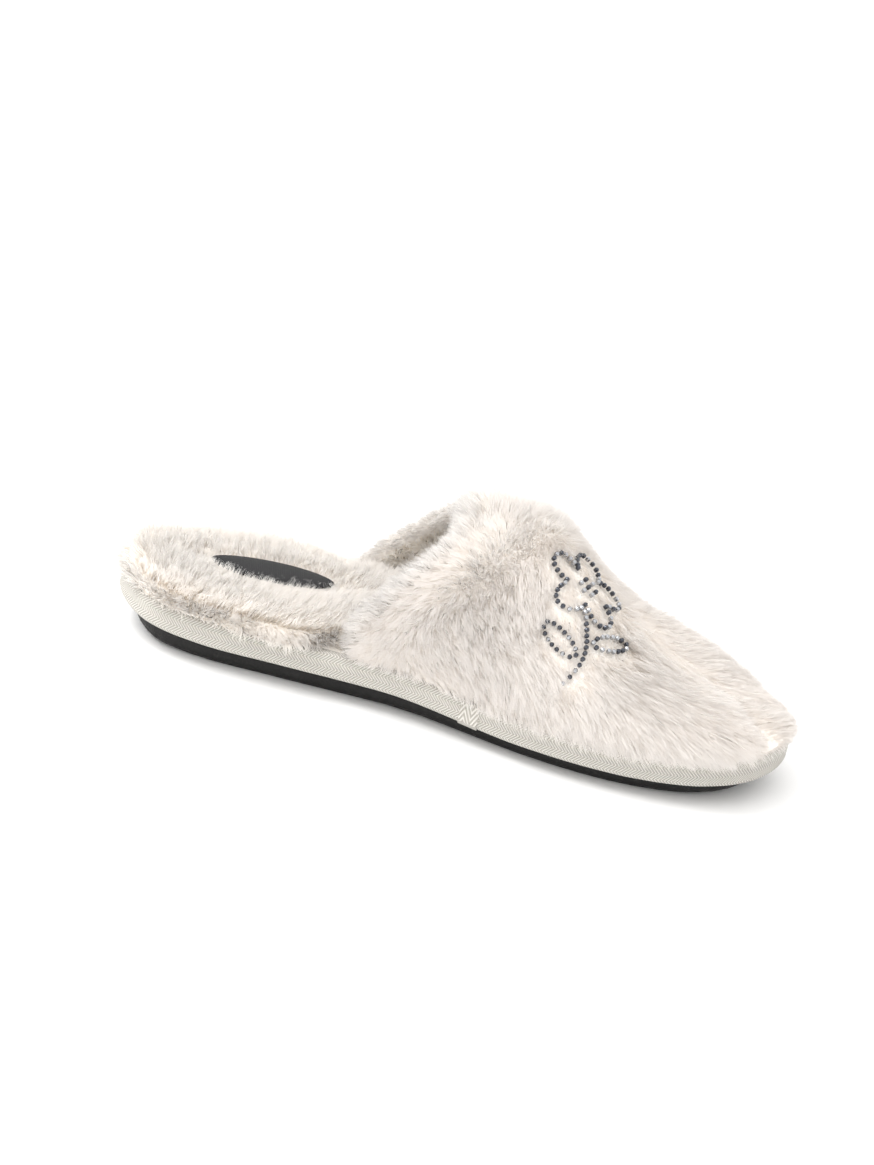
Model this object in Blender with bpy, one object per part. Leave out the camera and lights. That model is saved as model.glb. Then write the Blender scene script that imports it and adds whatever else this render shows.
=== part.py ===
"""Faux fur mule slipper for the left foot, as separate solids.

X runs from heel to toe, +Y is the lateral (outer) side and Z is up. The origin is on the
floor, under the middle of the slipper's box. A textile tape binds the edge of a plush
footbed, a moulded outsole is set in under it, and a fur vamp stands on its rim.
"""

import math

import bmesh
import bpy
import numpy as np
from mathutils import Vector

MM = 0.001

# Plan of the bound platform
LENGTH = 255 * MM
WIDTH = 112 * MM

# Outsole
HEEL_THICKNESS = 8.6 * MM
FORE_THICKNESS = 6.8 * MM
SOLE_INSET = 8.0 * MM  # from the platform's edge to the outsole's edge
RIM_WIDTH = 11.0 * MM  # smooth border round the tread field
EDGE_ROUND = 3.0 * MM
FIELD_DEPTH = 1.3 * MM
RIB_PITCH = 5.6 * MM
RIB_GAP = 1.3 * MM
RIB_CORNER = 1.0 * MM
RIB_ROOT = 0.5 * MM  # how far a rib is sunk into the field's floor
DISC_DIAMETER = 23.5 * MM
TOE_SPRING = 4.5 * MM
HEEL_SPRING = 3.2 * MM
ARCH_LIFT = 0.6 * MM

# Binding tape
TAPE = 0.9 * MM
TAPE_HEIGHT = 9.8 * MM
TAPE_ROUND = 1.2 * MM
TAPE_UNDER = 9.5 * MM  # the tape turned in under the platform
TAPE_OVER = 3.6 * MM  # the tape turned in over the platform

# Footbed
PLUSH = 5.2 * MM  # packed pile above the tape
BED_CROWN = 1.4 * MM
BED_LOCK = 3.2 * MM
BED_OVERHANG = 0.8 * MM  # pile that stands out over the tape at the heel
LABEL_LENGTH = 47 * MM
LABEL_WIDTH = 19 * MM
LABEL_THICKNESS = 0.7 * MM

# Vamp
INSTEP = 56 * MM  # crest at the throat, above the tape
WALL = 4.4 * MM
TOE_WALL = 2.6 * MM
COLLAR_WALL = 7.0 * MM
COLLAR_ROLL = 3.2 * MM
SIDE_BULGE = 2.2 * MM
VAMP_INSET = 1.0 * MM
FUR_LOCK = 3.6 * MM

CLEARANCE = 0.3 * MM
LOOP_POINTS = 64

# Plan outline. along is a share of LENGTH from the heel, medial and lateral are shares of WIDTH.
OUTLINE = (
    # along, medial, lateral
    (0.00, 0.128, 0.128),
    (0.04, -0.104, 0.336),
    (0.12, -0.180, 0.454),
    (0.25, -0.217, 0.491),
    (0.40, -0.262, 0.499),
    (0.50, -0.336, 0.497),
    (0.60, -0.429, 0.491),
    (0.70, -0.487, 0.464),
    (0.80, -0.501, 0.421),
    (0.88, -0.471, 0.329),
    (0.95, -0.372, 0.163),
    (1.00, -0.104, -0.104),
)

# The underside along the shoe, as shares of LENGTH from the heel
HEEL_FLAT = 0.18  # the heel lies flat from here
ARCH = (0.32, 0.56)
TOE_FLAT = 0.72  # the forefoot lies flat up to here
DISC_PLACE = (0.428, 0.10)  # shares of LENGTH and WIDTH

# Vamp sections from the throat round to the toe. turn is the share of the way round the rim,
# crest the share of LENGTH where the section tops out, rise a share of INSTEP, and full the
# power of its rounded curve.
THROAT = 0.345  # share of LENGTH where the vamp's rear corners stand
VAMP = (
    # turn, crest, rise, full
    (0.00, 0.500, 0.93, 2.3),
    (0.10, 0.553, 0.97, 2.3),
    (0.20, 0.606, 0.95, 2.3),
    (0.30, 0.662, 0.79, 2.3),
    (0.40, 0.718, 0.57, 2.4),
    (0.52, 0.778, 0.39, 2.3),
    (0.64, 0.828, 0.28, 2.2),
    (0.78, 0.870, 0.19, 2.0),
    (0.90, 0.894, 0.145, 1.85),
    (1.00, 0.904, 0.13, 1.8),
)
MEDIAL_LEAN = 1.6  # power of the collar's slope up and forward
LATERAL_LEAN = 1.0
VAMP_TURNS = 24  # cells from the throat to the toe
VAMP_CLIMBS = 9  # cells from the rim to the crest
BED_CELLS = 9  # cells across the footbed
LABEL_PLACE = (0.216, 0.143)  # shares of LENGTH and WIDTH


def smooth(value, low, high):
    """0 before low, 1 after high, and a smooth step between."""
    share = min(1.0, max(0.0, (value - low) / (high - low)))
    return share * share * (3 - 2 * share)


def through(rows, column, at):
    """A table's column at a value of its first column, on a smooth curve through its rows."""
    knots = [row[0] for row in rows]
    values = [row[column] for row in rows]
    i = min(len(rows) - 2, max(0, int(np.searchsorted(knots, at, side="right")) - 1))
    span = knots[i + 1] - knots[i]
    share = (at - knots[i]) / span

    def slope(k):
        low, high = max(0, k - 1), min(len(rows) - 1, k + 1)
        return (values[high] - values[low]) / (knots[high] - knots[low])

    square, cube = share**2, share**3
    return (
        values[i] * (2 * cube - 3 * square + 1)
        + values[i + 1] * (3 * square - 2 * cube)
        + slope(i) * span * (cube - 2 * square + share)
        + slope(i + 1) * span * (cube - square)
    )


def turned_outline():
    """Rows of (angle, side). The angle runs from the heel along the lateral side to the toe."""
    rows = [(math.acos(1 - 2 * along), medial, lateral) for along, medial, lateral in OUTLINE]
    there = [(angle, lateral) for angle, _, lateral in rows]
    back = [(2 * math.pi - angle, medial) for angle, medial, _ in reversed(rows[:-1])]
    once = there + back
    before = [(angle - 2 * math.pi, side) for angle, side in once[-4:-1]]
    after = [(angle + 2 * math.pi, side) for angle, side in once[1:4]]
    return before + once + after


TURNED = turned_outline()


def edge(angle):
    angle %= 2 * math.pi
    return Vector((-LENGTH / 2 * math.cos(angle), WIDTH * through(TURNED, 1, angle)))


def rim(angle, inset=0.0):
    """A point of the platform's outline, moved in towards the middle by inset."""
    run = edge(angle - 0.01) - edge(angle + 0.01)
    return edge(angle) + Vector((-run.y, run.x)).normalized() * inset


def loop_angles():
    return [2 * math.pi * i / LOOP_POINTS for i in range(LOOP_POINTS)]


def lift(x):
    """Height of the outsole's underside above the floor."""
    along = x / LENGTH + 0.5
    heel = max(0.0, 1 - along / HEEL_FLAT)
    toe = max(0.0, (along - TOE_FLAT) / (1 - TOE_FLAT))
    arch = min(1.0, max(0.0, (along - ARCH[0]) / (ARCH[1] - ARCH[0])))
    return (
        HEEL_SPRING * heel**2 + TOE_SPRING * toe**2 + ARCH_LIFT * math.sin(math.pi * arch) ** 2
    )


def deck(x):
    """Height of the outsole's top."""
    fore = smooth(x / LENGTH + 0.5, 0.3, 0.6)
    return lift(x) + HEEL_THICKNESS + (FORE_THICKNESS - HEEL_THICKNESS) * fore


def tape_top(x):
    return deck(x) + CLEARANCE + TAPE_HEIGHT


def vamp_seat(x):
    return tape_top(x) + CLEARANCE


def level(angle, inset, height):
    """A rim point at the height that a function of x gives."""
    place = rim(angle, inset)
    return Vector((place.x, place.y, height(place.x)))


def ring(inset, height):
    return [level(angle, inset, height) for angle in loop_angles()]


class Skin:
    """The points and faces of one solid."""

    def __init__(self):
        self.mesh = bmesh.new()

    def row(self, places):
        return [self.mesh.verts.new(place) for place in places]

    def face(self, *corners):
        once = list(dict.fromkeys(corners))
        if len(once) > 2:
            self.mesh.faces.new(once)

    def tuft(self, corners, tip):
        """A lock of pile over a cell: triangles from its sides to the tip."""
        once = list(dict.fromkeys(corners))
        top = self.mesh.verts.new(tip)
        for one, other in zip(once, once[1:] + once[:1]):
            self.mesh.faces.new((one, other, top))

    def bridge(self, low, high, closed=True):
        count = len(low) if closed else len(low) - 1
        for i in range(count):
            j = (i + 1) % len(low)
            self.face(low[i], low[j], high[j], high[i])

    def cap(self, loop):
        """Fill a loop with strips across the shoe."""
        last = len(loop)
        for i in range(last // 2):
            self.face(loop[i], loop[i + 1], loop[(last - i - 1) % last], loop[(last - i) % last])

    def finish(self, name, colour, roughness, sharp=40):
        bmesh.ops.recalc_face_normals(self.mesh, faces=self.mesh.faces)
        data = bpy.data.meshes.new(name)
        self.mesh.to_mesh(data)
        self.mesh.free()
        data.shade_smooth()
        data.set_sharp_from_angle(angle=math.radians(sharp))
        thing = bpy.data.objects.new(name, data)
        bpy.context.scene.collection.objects.link(thing)
        data.materials.append(material(name, colour, roughness))
        return thing


def material(name, colour, roughness):
    look = bpy.data.materials.new(name)
    look.use_nodes = True
    shader = look.node_tree.nodes["Principled BSDF"]
    shader.inputs["Base Color"].default_value = (*colour, 1)
    shader.inputs["Roughness"].default_value = roughness
    return look


def scatter(*numbers):
    """A fixed value from 0 to 1 that varies from cell to cell."""
    return (math.sin(sum(n * w for n, w in zip(numbers, (12.99, 78.23, 37.72)))) * 43758.5) % 1


def field_side(side):
    """The tread field's edge on one side, as arrays of x and y."""
    count = 240
    angles = [math.pi * i / count for i in range(count + 1)]
    places = [rim(side * angle, SOLE_INSET + RIM_WIDTH) for angle in angles]
    places.sort(key=lambda place: place.x)
    return np.array([p.x for p in places]), np.array([p.y for p in places])


def rounded(corners, radius):
    """A polygon's corners, each cut to a short curve."""
    places = []
    for i, corner in enumerate(corners):
        before = (corners[i - 1] - corner).normalized() * radius
        after = (corners[(i + 1) % len(corners)] - corner).normalized() * radius
        places += [corner + before, corner + (before + after) * 0.29, corner + after]
    return places


def tread_ribs():
    """Bars across the tread field, sunk into its floor."""
    skin = Skin()
    lateral, medial = field_side(1), field_side(-1)
    start, end = lateral[0][0] + RIB_GAP, lateral[0][-1] - RIB_GAP
    count = int((end - start + RIB_GAP) / RIB_PITCH)
    first = (start + end) / 2 - (count - 1) / 2 * RIB_PITCH
    bar = RIB_PITCH - RIB_GAP
    for i in range(count):
        middle = first + i * RIB_PITCH
        corners = []
        for x, side, way in (
            (middle - bar / 2, lateral, -1),
            (middle + bar / 2, lateral, -1),
            (middle + bar / 2, medial, 1),
            (middle - bar / 2, medial, 1),
        ):
            corners.append(Vector((x, np.interp(x, *side) + way * RIB_GAP)))
        if corners[0].y - corners[3].y < 4 * RIB_CORNER:
            continue
        slope = (lift(middle + bar / 2) - lift(middle - bar / 2)) / bar
        low, high = [], []
        for place in rounded(corners, RIB_CORNER):
            z = lift(middle) + slope * (place.x - middle)
            low.append((place.x, place.y, z))
            high.append((place.x, place.y, z + FIELD_DEPTH + RIB_ROOT))
        low, high = skin.row(low), skin.row(high)
        skin.bridge(low, high)
        skin.face(*low)
        skin.face(*high)
    return skin.finish("tread_ribs", (0.02, 0.02, 0.02), 0.7)


def disc(name, diameter, low, high):
    """An upright cylinder at the tread's round plateau."""
    along, across = DISC_PLACE
    x, y = LENGTH * (along - 0.5), WIDTH * across
    skin = Skin()
    turns = [2 * math.pi * i / 28 for i in range(28)]
    places = [(x + diameter / 2 * math.cos(a), y + diameter / 2 * math.sin(a)) for a in turns]
    bottom, top = (
        skin.row((px, py, lift(px) + z) for px, py in places) for z in (low, high)
    )
    skin.bridge(bottom, top)
    skin.face(*bottom)
    skin.face(*top)
    return skin.finish(name, (0.02, 0.02, 0.02), 0.7)


def combine(thing, tool, operation):
    """Join or cut by a helper, which isn't part of the shoe."""
    step = thing.modifiers.new(tool.name, "BOOLEAN")
    step.operation = operation
    step.solver = "EXACT"
    step.object = tool
    tool.hide_render = True
    tool.display_type = "WIRE"


def outsole():
    skin = Skin()
    rows = [skin.row(ring(SOLE_INSET, deck))]
    for i in range(4):
        turn = math.pi / 2 * i / 3
        inset = SOLE_INSET + EDGE_ROUND * (1 - math.cos(turn))
        up = EDGE_ROUND * (1 - math.sin(turn))
        rows.append(skin.row(ring(inset, lambda x, up=up: lift(x) + up)))
    rows.append(skin.row(ring(SOLE_INSET + RIM_WIDTH, lift)))
    rows.append(skin.row(ring(SOLE_INSET + RIM_WIDTH, lambda x: lift(x) + FIELD_DEPTH)))
    for one, other in zip(rows, rows[1:]):
        skin.bridge(one, other)
    skin.cap(rows[0])
    skin.cap(rows[-1])
    thing = skin.finish("outsole", (0.025, 0.024, 0.023), 0.62, 30)

    ribs = tread_ribs()
    combine(ribs, disc("disc_room", DISC_DIAMETER + 2 * RIB_GAP, -2 * MM, 5 * MM), "DIFFERENCE")
    combine(thing, ribs, "UNION")
    combine(thing, disc("disc", DISC_DIAMETER, 0, FIELD_DEPTH + RIB_ROOT), "UNION")
    return thing


def binding():
    """The tape as a ring of C section, open towards the middle."""

    def above(height):
        return lambda x: deck(x) + CLEARANCE + height

    skin = Skin()
    corner = TAPE_ROUND * (1 - math.sqrt(0.5))
    profile = (
        # inset, height above its own underside
        (TAPE_UNDER, 0),
        (TAPE_ROUND, 0),
        (corner, corner),
        (0, TAPE_ROUND),
        (0, TAPE_HEIGHT - TAPE_ROUND),
        (corner, TAPE_HEIGHT - corner),
        (TAPE_ROUND, TAPE_HEIGHT),
        (TAPE_OVER, TAPE_HEIGHT),
        (TAPE_OVER, TAPE_HEIGHT - TAPE),
        (TAPE, TAPE_HEIGHT - TAPE),
        (TAPE, TAPE),
        (TAPE_UNDER, TAPE),
    )
    rows = [skin.row(ring(inset, above(height))) for inset, height in profile]
    for one, other in zip(rows, rows[1:] + rows[:1]):
        skin.bridge(one, other)
    return skin.finish("binding", (0.80, 0.77, 0.71), 0.9, 50)


THROAT_ANGLE = math.acos(1 - 2 * THROAT)


def under_vamp(angle):
    """0 at the heel and 1 beside the vamp."""
    away = math.acos(math.cos(angle))
    return smooth(away, THROAT_ANGLE - 0.19, THROAT_ANGLE - 0.05)


def bed_edge(angle):
    """How far the plush stands in from the platform's edge."""
    return 0.5 * MM + (VAMP_INSET + COLLAR_WALL + 3 * CLEARANCE) * under_vamp(angle)


def on_label(x, y, margin):
    """Whether a place on the footbed is within the label's oval and a margin."""
    along, across = LABEL_PLACE
    dx = (x - LENGTH * (along - 0.5)) / (LABEL_LENGTH / 2 + margin)
    dy = (y - WIDTH * across) / (LABEL_WIDTH / 2 + margin)
    return dx * dx + dy * dy < 1


def bed_height(x, y):
    """The plush's smooth top."""
    along = x / LENGTH + 0.5
    angle = math.acos(min(1.0, max(-1.0, 1 - 2 * along)))
    low, high = edge(-angle).y, edge(angle).y
    across = min(1.0, abs(2 * (y - low) / max(high - low, MM) - 1))
    thin = 1 - 0.8 * smooth(along, 0.55, 0.85)
    return tape_top(x) + CLEARANCE + (PLUSH + BED_CROWN * (1 - across**2)) * thin


def footbed():
    skin = Skin()
    inner = TAPE_UNDER + CLEARANCE
    tongue = TAPE_OVER + CLEARANCE
    rows = [
        skin.row(ring(inner, lambda x: deck(x) + CLEARANCE)),
        skin.row(ring(inner, lambda x: deck(x) + TAPE + 2 * CLEARANCE)),
        skin.row(ring(TAPE + CLEARANCE, lambda x: deck(x) + TAPE + 2 * CLEARANCE)),
        skin.row(ring(TAPE + CLEARANCE, lambda x: deck(x) + TAPE_HEIGHT - TAPE)),
        skin.row(ring(tongue, lambda x: deck(x) + TAPE_HEIGHT - TAPE)),
    ]
    seat = []
    for angle in loop_angles():
        bare = CLEARANCE * (1 - under_vamp(angle))
        seat.append(level(angle, tongue, lambda x, bare=bare: tape_top(x) + bare))
    rows.append(skin.row(seat))
    stem, side, brow = [], [], []
    for angle in loop_angles():
        bare = CLEARANCE * (1 - under_vamp(angle))
        out = BED_OVERHANG * (1 - under_vamp(angle))
        inset = bed_edge(angle)
        stem.append(level(angle, inset, lambda x, bare=bare: tape_top(x) + bare))
        side.append(level(angle, inset - out, lambda x: tape_top(x) + CLEARANCE + 0.30 * PLUSH))
        top = rim(angle, inset + 1.5 * MM)
        height = tape_top(top.x) + CLEARANCE
        height += (bed_height(top.x, top.y) - height) * 0.82
        brow.append((top.x, top.y, height))
    rows += [skin.row(stem), skin.row(side), skin.row(brow)]
    for one, other in zip(rows, rows[1:-1]):
        skin.bridge(one, other)
    skin.cap(rows[0])

    # Locks round the edge
    side, brow = rows[-2], rows[-1]
    for i, angle in enumerate(loop_angles()):
        j = (i + 1) % LOOP_POINTS
        corners = (side[i], side[j], brow[j], brow[i])
        show = 1 - under_vamp(angle + math.pi / LOOP_POINTS)
        if show < 0.3:
            skin.face(*corners)
            continue
        centre = sum((corner.co for corner in corners), Vector()) / 4
        out = rim(angle + math.pi / LOOP_POINTS) - rim(angle + math.pi / LOOP_POINTS, MM)
        reach = 0.45 * BED_LOCK * (0.6 + 0.7 * scatter(i, 5)) * show
        skin.tuft(corners, centre + Vector((out.x, out.y, 0.4 * MM)) * (reach / MM))

    # Locks over the top
    half = LOOP_POINTS // 2
    lines = []
    for i in range(half + 1):
        lateral, medial = brow[i], brow[(LOOP_POINTS - i) % LOOP_POINTS]
        if lateral is medial:
            lines.append([lateral] * (BED_CELLS + 1))
            continue
        places = []
        for k in range(1, BED_CELLS):
            place = lateral.co.lerp(medial.co, k / BED_CELLS)
            places.append((place.x, place.y, bed_height(place.x, place.y)))
        lines.append([lateral, *skin.row(places), medial])
    for i in range(half):
        for k in range(BED_CELLS):
            corners = (lines[i][k], lines[i][k + 1], lines[i + 1][k + 1], lines[i + 1][k])
            once = list(dict.fromkeys(corners))
            centre = sum((corner.co for corner in once), Vector()) / len(once)
            along = centre.x / LENGTH + 0.5
            show = 1 - smooth(along, 0.48, 0.56)
            if show < 0.05 or on_label(centre.x, centre.y, 5.5 * MM):
                skin.face(*corners)
                continue
            size = min(1.0, (once[0].co - once[2].co).length / (10 * MM))
            up = BED_LOCK * (0.55 + 0.45 * scatter(i, k)) * show * size
            turn = 2 * math.pi * scatter(k, i, 3)
            reach = 1.6 * MM * size
            centre += Vector((reach * math.cos(turn), reach * math.sin(turn), up))
            skin.tuft(corners, centre)
    return skin.finish("footbed", (0.86, 0.82, 0.75), 0.95, 75)


def insole_label():
    """A bare oval patch that lies on the plush."""
    along, across = LABEL_PLACE
    middle = Vector((LENGTH * (along - 0.5), WIDTH * across))
    skin = Skin()
    low, high = [], []
    for i in range(24):
        turn = 2 * math.pi * i / 24
        x = middle.x + LABEL_LENGTH / 2 * math.cos(turn)
        y = middle.y + LABEL_WIDTH / 2 * math.sin(turn)
        z = bed_height(x, y) + 2 * CLEARANCE
        low.append((x, y, z))
        high.append((x, y, z + LABEL_THICKNESS))
    low, high = skin.row(low), skin.row(high)
    skin.bridge(low, high)
    ridge = bed_height(middle.x, middle.y) + 2 * CLEARANCE
    bottom, top = skin.row(((middle.x, middle.y, ridge), (middle.x, middle.y, ridge + LABEL_THICKNESS)))
    for i in range(24):
        j = (i + 1) % 24
        skin.face(low[i], low[j], bottom)
        skin.face(high[i], high[j], top)
    return skin.finish("insole_label", (0.02, 0.02, 0.022), 0.55)


def vamp_place(turn, side, climb):
    """A point of the vamp's plain form. side is 1 lateral and -1 medial, climb 1 at the crest."""
    angle = side * (THROAT_ANGLE + turn * (math.pi - THROAT_ANGLE))
    low, high = min(1.0, max(0.0, turn)), through(VAMP, 1, turn)
    spine = math.acos(min(1.0, 1 - 2 * high))
    crest = Vector((LENGTH * (high - 0.5), (edge(spine).y + edge(-spine).y) / 2))
    full = through(VAMP, 3, turn)
    quarter = min(1.0, max(0.0, climb)) * math.pi / 2
    over = 1 - max(0.0, math.cos(quarter)) ** (2 / full)
    up = math.sin(quarter) ** (2 / full)
    lean = LATERAL_LEAN if side > 0 else MEDIAL_LEAN
    ahead = over + (up**lean - over) * (1 - smooth(low, 0.1, 0.6))
    bulge = SIDE_BULGE * math.sin(math.pi * up) * (1 - 0.5 * low)
    foot = rim(angle, VAMP_INSET - bulge)
    plain = rim(angle, VAMP_INSET)
    x = foot.x + (crest.x - plain.x) * ahead
    y = foot.y + (crest.y - plain.y) * over
    seat = tape_top(plain.x) + CLEARANCE
    top = tape_top(crest.x) + CLEARANCE + INSTEP * through(VAMP, 2, turn)
    return Vector((x, y, seat + (top - seat) * up))


def vamp_frame(turn, side, climb):
    """The plain form's point, its outward normal and its direction towards the toe."""
    step = 0.01
    place = vamp_place(turn, side, climb)
    one, other = max(0.0, turn - step), min(1.0, turn + step)
    ahead = vamp_place(other, side, climb) - vamp_place(one, side, climb)
    low, high = max(0.02, climb - 0.03), min(1.0, max(0.02, climb - 0.03) + 0.06)
    rise = vamp_place(turn, side, high) - vamp_place(turn, side, low)
    normal = rise.cross(ahead) * side
    if climb > 0.999:
        normal.y = 0
        if turn > 0.999:
            normal = Vector((0.3, 0, 1))
    return place, normal.normalized(), ahead.normalized()


def upper():
    """The hollow vamp, with the collar's roll and the fur's locks."""
    skin = Skin()
    last = 2 * VAMP_TURNS
    outer, inner, frames = {}, {}, {}
    for j in range(last + 1):
        side = 1 if j <= VAMP_TURNS else -1
        turn = (j if side > 0 else last - j) / VAMP_TURNS
        for k in range(VAMP_CLIMBS + 1):
            if side < 0 and k == VAMP_CLIMBS:
                outer[j, k], inner[j, k] = outer[last - j, k], inner[last - j, k]
                frames[j, k] = frames[last - j, k]
                continue
            climb = k / VAMP_CLIMBS
            place, normal, ahead = vamp_frame(turn, side, climb)
            if k == 0:
                normal = Vector((normal.x, normal.y, 0)).normalized()
            roll = COLLAR_ROLL * (1 - smooth(turn, 0.09, 0.21)) * smooth(climb, 0, 0.3)
            wall = WALL + (COLLAR_WALL - WALL) * (1 - smooth(turn, 0.05, 0.2))
            wall += (TOE_WALL - WALL) * smooth(turn, 0.5, 0.8)
            outside, inside = place + normal * roll, place - normal * wall
            inside.z = max(inside.z, vamp_seat(inside.x) + 0.4 * (place.z - vamp_seat(place.x)))
            if k == 0:
                inside.z = vamp_seat(inside.x)
            frames[j, k] = (place, normal, ahead)
            outer[j, k], inner[j, k] = skin.row((outside, inside))

    for j in range(last):
        skin.face(outer[j, 0], outer[j + 1, 0], inner[j + 1, 0], inner[j, 0])
        for k in range(VAMP_CLIMBS):
            skin.face(inner[j, k], inner[j, k + 1], inner[j + 1, k + 1], inner[j + 1, k])
            cell = (outer[j, k], outer[j, k + 1], outer[j + 1, k + 1], outer[j + 1, k])
            centre = sum((corner.co for corner in cell), Vector()) / 4
            _, normal, ahead = frames[j, k]
            _, there, _ = frames[j + 1, k + 1]
            size = min((cell[0].co - cell[2].co).length, (cell[1].co - cell[3].co).length)
            size = min(1.0, size / (10 * MM))
            up = FUR_LOCK * size * (0.6 + 0.4 * scatter(j, k))
            if k == 0:
                up *= 0.6
            lean = 1.7 * MM * size
            tip = centre + (normal + there).normalized() * up
            tip += (ahead * 0.6 + Vector((0, 0, -0.5))) * lean
            if k == 0:
                tip.z = max(tip.z, centre.z)
            skin.tuft(cell, tip)

    # The collar's rounded lip, from the lateral rim over the crest to the medial rim
    path = [(0, k) for k in range(VAMP_CLIMBS + 1)]
    path += [(last, k) for k in range(VAMP_CLIMBS - 1, -1, -1)]
    rows = [[outer[key] for key in path]]
    for turn in (math.pi / 4, math.pi / 2, 3 * math.pi / 4):
        places = []
        for key in path:
            out, within = outer[key].co, inner[key].co
            centre, arm = (out + within) / 2, (out - within) / 2
            back = -frames[key][2]
            back = (back - arm * (back.dot(arm) / arm.length_squared)).normalized()
            place = centre + arm * math.cos(turn) + back * arm.length * math.sin(turn)
            if key[1] == 0:
                place.z = tape_top(place.x) + CLEARANCE
            places.append(place)
        rows.append(skin.row(places))
    rows.append([inner[key] for key in path])
    seat = outer[0, 0].co.z
    for r, (one, other) in enumerate(zip(rows, rows[1:])):
        for i in range(len(path) - 1):
            cell = (one[i], one[i + 1], other[i + 1], other[i])
            centre = sum((corner.co for corner in cell), Vector()) / 4
            within = (outer[path[i]].co + inner[path[i + 1]].co) / 2
            out = (centre - within).normalized()
            up = 0.35 * FUR_LOCK * (0.5 + 0.5 * scatter(i, r, 7))
            tip = centre + out * up
            tip.z = max(tip.z, min(centre.z, seat + 3 * MM))
            skin.tuft(cell, tip)
    for end in (0, -1):
        skin.face(*(row[end] for row in rows))
    return skin.finish("upper", (0.90, 0.86, 0.79), 0.95, 75)


def main():
    for old in list(bpy.data.objects):
        bpy.data.objects.remove(old, do_unlink=True)
    things = [outsole(), binding(), footbed(), insole_label(), upper()]
    corners = [thing.matrix_world @ v.co for thing in things for v in thing.data.vertices]
    low = [min(corner[i] for corner in corners) for i in range(3)]
    high = [max(corner[i] for corner in corners) for i in range(3)]
    move = Vector((-(low[0] + high[0]) / 2, -(low[1] + high[1]) / 2, -low[2]))
    for thing in bpy.data.objects:
        thing.location += move


main()
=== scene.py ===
"""Looks of the faux fur mule slipper: fur, plush, woven tape, rubber sole and stones."""

import math

import bmesh
import bpy
import numpy as np
from mathutils import Matrix, Vector, noise
from mathutils.bvhtree import BVHTree
from mathutils.kdtree import KDTree


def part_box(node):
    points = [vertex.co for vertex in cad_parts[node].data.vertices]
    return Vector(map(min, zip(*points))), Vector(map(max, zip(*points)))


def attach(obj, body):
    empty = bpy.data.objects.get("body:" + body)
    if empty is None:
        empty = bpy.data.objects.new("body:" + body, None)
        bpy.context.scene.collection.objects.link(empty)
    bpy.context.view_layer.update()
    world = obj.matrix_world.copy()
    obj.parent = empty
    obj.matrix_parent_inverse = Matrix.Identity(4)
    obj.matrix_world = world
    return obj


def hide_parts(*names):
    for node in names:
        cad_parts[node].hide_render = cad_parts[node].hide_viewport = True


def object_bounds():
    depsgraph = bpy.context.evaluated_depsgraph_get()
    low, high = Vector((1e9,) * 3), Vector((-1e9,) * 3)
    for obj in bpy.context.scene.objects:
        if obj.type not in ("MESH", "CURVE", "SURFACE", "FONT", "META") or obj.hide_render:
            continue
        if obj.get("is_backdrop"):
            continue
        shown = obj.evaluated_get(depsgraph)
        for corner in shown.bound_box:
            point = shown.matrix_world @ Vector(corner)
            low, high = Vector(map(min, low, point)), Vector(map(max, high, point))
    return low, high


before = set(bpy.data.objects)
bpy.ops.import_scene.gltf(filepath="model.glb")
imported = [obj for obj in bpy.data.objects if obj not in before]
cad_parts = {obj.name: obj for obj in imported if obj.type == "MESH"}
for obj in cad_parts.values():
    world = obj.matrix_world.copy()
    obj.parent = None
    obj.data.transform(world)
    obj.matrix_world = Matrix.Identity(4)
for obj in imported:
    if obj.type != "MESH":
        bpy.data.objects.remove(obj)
CAD_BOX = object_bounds()
MM = 0.001
RNG = np.random.default_rng(7)
noise.seed_set(7)

# Sizes and sections of the shoe's own design
LENGTH = 255 * MM
WIDTH = 112 * MM
HEEL_THICKNESS = 8.6 * MM
FORE_THICKNESS = 6.8 * MM
SOLE_INSET = 8.0 * MM
RIM_WIDTH = 11.0 * MM
FIELD_DEPTH = 1.3 * MM
RIB_PITCH = 5.6 * MM
RIB_GAP = 1.3 * MM
DISC_DIAMETER = 23.5 * MM
TOE_SPRING = 4.5 * MM
HEEL_SPRING = 3.2 * MM
ARCH_LIFT = 0.6 * MM
TAPE = 0.9 * MM
TAPE_HEIGHT = 9.8 * MM
TAPE_ROUND = 1.2 * MM
TAPE_UNDER = 9.5 * MM
TAPE_OVER = 3.6 * MM
PLUSH = 5.2 * MM
BED_CROWN = 1.4 * MM
LABEL_LENGTH = 47 * MM
LABEL_WIDTH = 19 * MM
INSTEP = 56 * MM
WALL = 4.4 * MM
TOE_WALL = 2.6 * MM
COLLAR_WALL = 7.0 * MM
COLLAR_ROLL = 2.6 * MM
CREST_ROLL = 3.2 * MM  # the collar's fold stands highest over the instep
SIDE_BULGE = 2.2 * MM
VAMP_INSET = 1.0 * MM
CLEARANCE = 0.3 * MM
OUTLINE = (
    # along, medial, lateral
    (0.00, 0.128, 0.128),
    (0.04, -0.104, 0.336),
    (0.12, -0.180, 0.454),
    (0.25, -0.217, 0.491),
    (0.40, -0.262, 0.499),
    (0.50, -0.336, 0.497),
    (0.60, -0.429, 0.491),
    (0.70, -0.487, 0.464),
    (0.80, -0.501, 0.421),
    (0.88, -0.471, 0.329),
    (0.95, -0.372, 0.163),
    (1.00, -0.104, -0.104),
)
HEEL_FLAT = 0.18
ARCH = (0.32, 0.56)
TOE_FLAT = 0.72
DISC_PLACE = (0.428, 0.10)
THROAT = 0.345
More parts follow.
